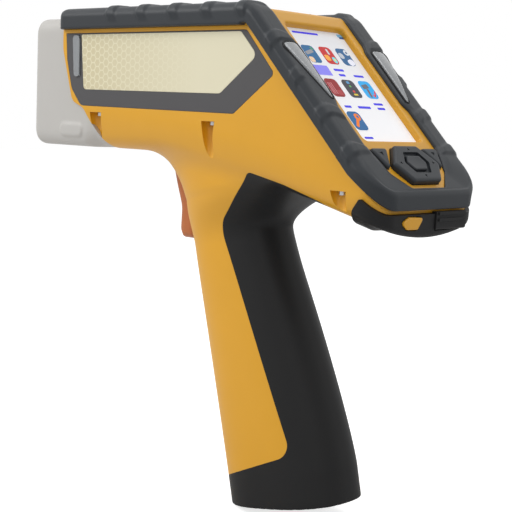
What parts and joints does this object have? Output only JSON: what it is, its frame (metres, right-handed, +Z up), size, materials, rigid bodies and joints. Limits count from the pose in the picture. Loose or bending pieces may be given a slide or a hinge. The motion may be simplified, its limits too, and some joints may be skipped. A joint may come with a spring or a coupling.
{
  "type": "handheld XRF analyzer",
  "caption": "Pistol-shaped handheld X-ray fluorescence analyzer: yellow housing, sloped display and keypad, rubber bumper, grey measuring nose, trigger and a handle with a battery.",
  "frame": {"origin": "centre of the foot's bottom face, under the battery's cap", "axes": "-X forwards to the measuring nose, +X to the tail, +Y across, +Z up along the housing's height"},
  "size_m": [0.2388, 0.0852, 0.2444],
  "materials": {
    "yellow_plastic": "satin moulded plastic, fine texture",
    "charcoal_rubber": "soft matte over-moulded rubber",
    "black_rubber": "matte over-moulded rubber, finely textured",
    "warm_grey_plastic": "matte moulded plastic",
    "dark_grey_plastic": "matte moulded plastic",
    "cream_label": "printed film with a fading honeycomb pattern",
    "copper_plastic": "satin moulded plastic",
    "clear_lens": "clear blue-grey tinted plastic lens",
    "display_glass": "clear cover glass",
    "window_film": "thin amber film",
    "black_plastic": "matte black moulded plastic",
    "steel": "brushed steel",
    "aluminium": "machined aluminium",
    "circuit_board": "green solder mask",
    "brass": "plated contacts in a moulded block"
  },
  "bodies": {
    "body": {"main_housing": "yellow_plastic", "top_cover": "yellow_plastic", "bumper": "charcoal_rubber", "grip": "black_rubber", "nose_cover": "warm_grey_plastic", "nose_plate": "dark_grey_plastic", "window_film": "window_film", "nose_screws": "steel", "side_band_left": "dark_grey_plastic", "side_band_right": "dark_grey_plastic", "side_label_left": "cream_label", "side_label_right": "cream_label", "nose_lens_left": "clear_lens", "nose_lens_right": "clear_lens", "display_lens_left": "clear_lens", "display_lens_right": "clear_lens", "display_glass": "display_glass", "lcd_module": "black_plastic", "lcd_frame": "steel", "main_board": "circuit_board", "keypad_board": "circuit_board", "tail_shroud": "black_rubber", "port_block": "steel", "housing_screws": "steel", "nose_block": "aluminium", "xray_tube": "aluminium", "detector": "aluminium", "hv_supply": "black_plastic", "chassis": "steel", "trigger_pin": "steel", "trigger_switch": "black_plastic", "contact_block": "brass"},
    "trigger": {"trigger": "copper_plastic"},
    "nav_pad": {"nav_pad": "charcoal_rubber"},
    "select_key": {"select_key": "charcoal_rubber"},
    "left_key": {"left_key": "charcoal_rubber"},
    "right_key": {"right_key": "charcoal_rubber"},
    "proximity_button": {"proximity_button": "dark_grey_plastic"},
    "battery": {"battery_pack": "black_plastic", "battery_cap": "black_rubber"},
    "battery_latch": {"battery_latch": "dark_grey_plastic"},
    "port_cover": {"port_cover": "black_rubber"}
  },
  "joints": [
    {"name": "trigger_pull", "type": "hinge", "parent": "body", "child": "trigger", "pos_m": [-0.066, 0, 0.157], "axis": [0, -1, 0], "range_deg": [0, 9], "stiffness_Nm_per_rad": 0.5, "springref_deg": -4.58},
    {"name": "nav_pad_press", "type": "slide", "parent": "body", "child": "nav_pad", "axis": [-0.7254, 0, -0.6884], "range_m": [0, 0.0008], "stiffness_N_per_m": 1500, "springref_m": -0.0005},
    {"name": "select_key_press", "type": "slide", "parent": "body", "child": "select_key", "axis": [-0.7254, 0, -0.6884], "range_m": [0, 0.0008], "stiffness_N_per_m": 1500, "springref_m": -0.0005},
    {"name": "left_key_press", "type": "slide", "parent": "body", "child": "left_key", "axis": [-0.7254, 0, -0.6884], "range_m": [0, 0.0008], "stiffness_N_per_m": 1500, "springref_m": -0.0005},
    {"name": "right_key_press", "type": "slide", "parent": "body", "child": "right_key", "axis": [-0.7254, 0, -0.6884], "range_m": [0, 0.0008], "stiffness_N_per_m": 1500, "springref_m": -0.0005},
    {"name": "proximity_press", "type": "slide", "parent": "body", "child": "proximity_button", "axis": [1, 0, 0], "range_m": [0, 0.0014], "stiffness_N_per_m": 600, "springref_m": -0.0008},
    {"name": "battery_slide", "type": "slide", "parent": "body", "child": "battery", "axis": [0.1959, 0, -0.9806], "range_m": [0, 0.1]},
    {"name": "latch_slide", "type": "slide", "parent": "battery", "child": "battery_latch", "axis": [0.9806, 0, 0.1959], "range_m": [0, 0.003], "stiffness_N_per_m": 400, "springref_m": -0.001},
    {"name": "port_cover_swing", "type": "hinge", "parent": "body", "child": "port_cover", "pos_m": [0.0688, 0, 0.1402], "axis": [0, 1, 0], "range_deg": [0, 95]}
  ]
}
